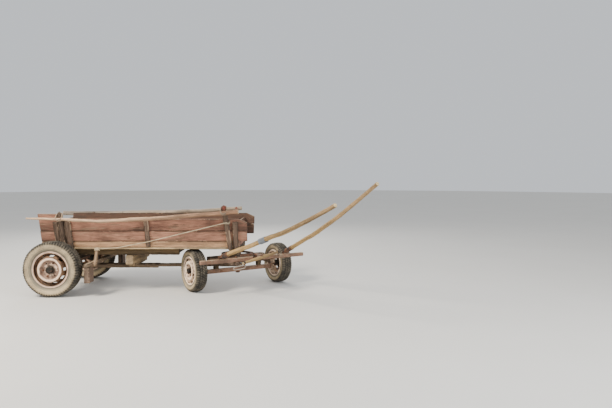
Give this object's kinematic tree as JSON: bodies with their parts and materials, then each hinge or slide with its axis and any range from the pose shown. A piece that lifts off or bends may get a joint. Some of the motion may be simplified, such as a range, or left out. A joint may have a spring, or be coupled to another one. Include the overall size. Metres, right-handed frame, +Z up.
{
  "type": "four-wheeled farm horse cart",
  "caption": "Flat-bed farm cart with leaning plank sides, round side poles, a turning forecarriage with two hinged shafts and a swingletree, on pressed-disc car wheels.",
  "frame": {"origin": "middle of the load floor's top face, halfway between the axles", "axes": "+X forward along the body, +Z up, +Y to the left"},
  "size_m": [3.9476, 3.0128, 1.3271],
  "materials": {
    "painted_planks": "worn red paint",
    "worn_timber": "weathered",
    "olive_timber": "weathered",
    "pale_timber": "dry",
    "peeled_pole": "peeled",
    "grey_pole": "silvered",
    "shaft_wood": "dry",
    "rusty_iron": "rusty",
    "red_steel": "faded red",
    "tyre": "dusty",
    "cream_rim": "dusty cream",
    "greasy_hub": "greasy"
  },
  "bodies": {
    "cart": {"floor_boards": "olive_timber", "sills": "olive_timber", "cross_bearers": "olive_timber", "rear_bolster": "olive_timber", "front_bolster": "olive_timber", "mid_bearer": "olive_timber", "reach": "pale_timber", "reach_cheeks": "pale_timber", "rear_axle": "red_steel", "side_right": "painted_planks", "side_left": "painted_planks", "battens_right": "worn_timber", "battens_left": "worn_timber", "ledges": "worn_timber", "corner_board": "painted_planks", "tailboard": "painted_planks", "headboard": "painted_planks", "rear_stakes": "worn_timber", "front_stakes": "worn_timber", "rave_pole_right": "peeled_pole", "rave_pole_left": "grey_pole", "pole_straps": "rusty_iron", "king_pin": "rusty_iron", "upper_ring": "rusty_iron", "brake_hangers": "rusty_iron", "brake_beam": "pale_timber", "brake_shoes": "worn_timber", "brake_lever": "pale_timber"},
    "forecarriage": {"lower_ring": "rusty_iron", "front_axle": "red_steel", "axle_blocks": "olive_timber", "sand_board": "worn_timber", "hounds": "worn_timber", "splinter_bar": "red_steel", "shaft_ears": "rusty_iron", "tree_tongue": "rusty_iron"},
    "shaft_right": {"shaft_right": "shaft_wood", "shaft_iron_right": "rusty_iron"},
    "shaft_left": {"shaft_left": "shaft_wood", "shaft_iron_left": "rusty_iron"},
    "swingletree": {"swingletree": "shaft_wood", "tree_eyes": "rusty_iron"},
    "wheel_rear_right": {"tyre_rear_right": "tyre", "rim_rear_right": "cream_rim", "hub_rear_right": "greasy_hub"},
    "wheel_rear_left": {"tyre_rear_left": "tyre", "rim_rear_left": "cream_rim", "hub_rear_left": "greasy_hub"},
    "wheel_front_right": {"tyre_front_right": "tyre", "rim_front_right": "cream_rim", "hub_front_right": "greasy_hub"},
    "wheel_front_left": {"tyre_front_left": "tyre", "rim_front_left": "cream_rim", "hub_front_left": "greasy_hub"}
  },
  "joints": [
    {"name": "steer", "type": "hinge", "parent": "cart", "child": "forecarriage", "pos_m": [1.02, 0, -0.2], "axis": [0, 0, 1], "range_deg": [-2, 114]},
    {"name": "wheel_rear_right_spin", "type": "hinge", "parent": "cart", "child": "wheel_rear_right", "pos_m": [-1.02, -0.605, -0.2228], "axis": [0, 1, 0], "continuous": true},
    {"name": "wheel_rear_left_spin", "type": "hinge", "parent": "cart", "child": "wheel_rear_left", "pos_m": [-1.02, 0.605, -0.2228], "axis": [0, 1, 0], "continuous": true},
    {"name": "wheel_front_right_spin", "type": "hinge", "parent": "forecarriage", "child": "wheel_front_right", "pos_m": [0.53916, -0.32433, -0.2863], "axis": [0.829, 0.5592, 0], "continuous": true},
    {"name": "wheel_front_left_spin", "type": "hinge", "parent": "forecarriage", "child": "wheel_front_left", "pos_m": [1.50084, 0.32433, -0.2863], "axis": [0.829, 0.5592, 0], "continuous": true},
    {"name": "shaft_right_lift", "type": "hinge", "parent": "forecarriage", "child": "shaft_right", "pos_m": [0.89838, -0.58865, -0.092], "axis": [-0.829, -0.5592, 0], "range_deg": [-27, 20]},
    {"name": "shaft_left_lift", "type": "hinge", "parent": "forecarriage", "child": "shaft_left", "pos_m": [1.61135, -0.10774, -0.092], "axis": [-0.829, -0.5592, 0], "range_deg": [-34, 20]},
    {"name": "swingletree_swing", "type": "hinge", "parent": "forecarriage", "child": "swingletree", "pos_m": [1.35552, -0.49742, -0.108], "axis": [-0.1082, -0.073, 0.9914], "range_deg": [-40, 10]}
  ]
}
